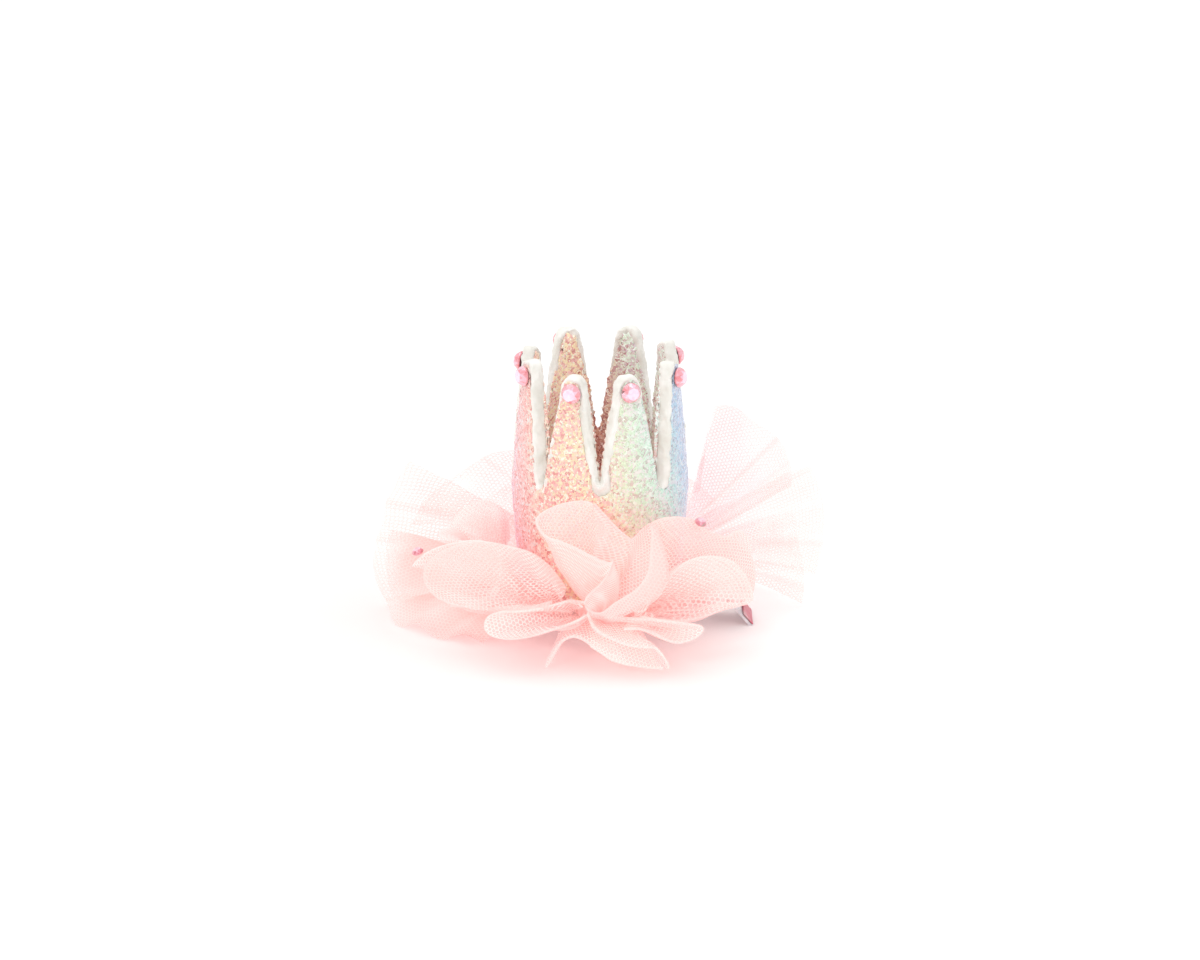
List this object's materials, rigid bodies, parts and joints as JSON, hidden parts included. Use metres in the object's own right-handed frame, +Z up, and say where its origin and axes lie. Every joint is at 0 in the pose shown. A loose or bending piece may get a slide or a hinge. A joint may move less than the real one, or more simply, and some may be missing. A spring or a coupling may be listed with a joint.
{
  "type": "crown hair clip",
  "caption": "Miniature glitter crown on a gathered tulle skirt, fixed to an alligator clip so that it stands upright on the hair.",
  "frame": {"origin": "on the floor that the clip rests on, under the axis of the crown, midway along the skirt's length and depth", "axes": "+Z up through the crown, +X towards the tab of the clip, -Y towards the front with the rose of folded net"},
  "size_m": [0.1162, 0.0766, 0.073],
  "materials": {
    "foam": "soft cream foam edge",
    "glitter_outer": "glitter that turns from pink through peach and mint to lilac",
    "glitter_inner": "dusky glitter",
    "felt": "matt felt",
    "tip_stone": "cut, glossy, pink",
    "net_folded": "pale pink net, folded double",
    "net_left": "pale pink net",
    "net_right": "pale pink net",
    "net_stone": "cut, glossy, pink",
    "steel": "pressed steel",
    "ribbon": "dark pink satin",
    "pin": "plain steel",
    "spring": "plain wire"
  },
  "bodies": {
    "crown_and_plate": {"crown_core": "foam", "glitter_outer": "glitter_outer", "glitter_inner": "glitter_inner", "felt_base": "felt", "tip_stone_1": "tip_stone", "tip_stone_2": "tip_stone", "tip_stone_3": "tip_stone", "tip_stone_4": "tip_stone", "tip_stone_5": "tip_stone", "tip_stone_6": "tip_stone", "tip_stone_7": "tip_stone", "tip_stone_8": "tip_stone", "tulle_front": "net_folded", "tulle_left": "net_left", "tulle_right": "net_right", "tulle_stone_left": "net_stone", "tulle_stone_right": "net_stone", "clip_plate": "steel", "hinge_pin": "pin", "hinge_spring": "spring"},
    "jaw": {"clip_jaw": "steel", "tab_ribbon": "ribbon", "spring_leg": "spring"}
  },
  "joints": [
    {"name": "jaw_hinge", "type": "hinge", "parent": "crown_and_plate", "child": "jaw", "pos_m": [0.0295, 0.001, 0.0064], "axis": [0, -1, 0], "range_deg": [0, 25], "stiffness_Nm_per_rad": 0.08, "springref_deg": -17.19}
  ]
}
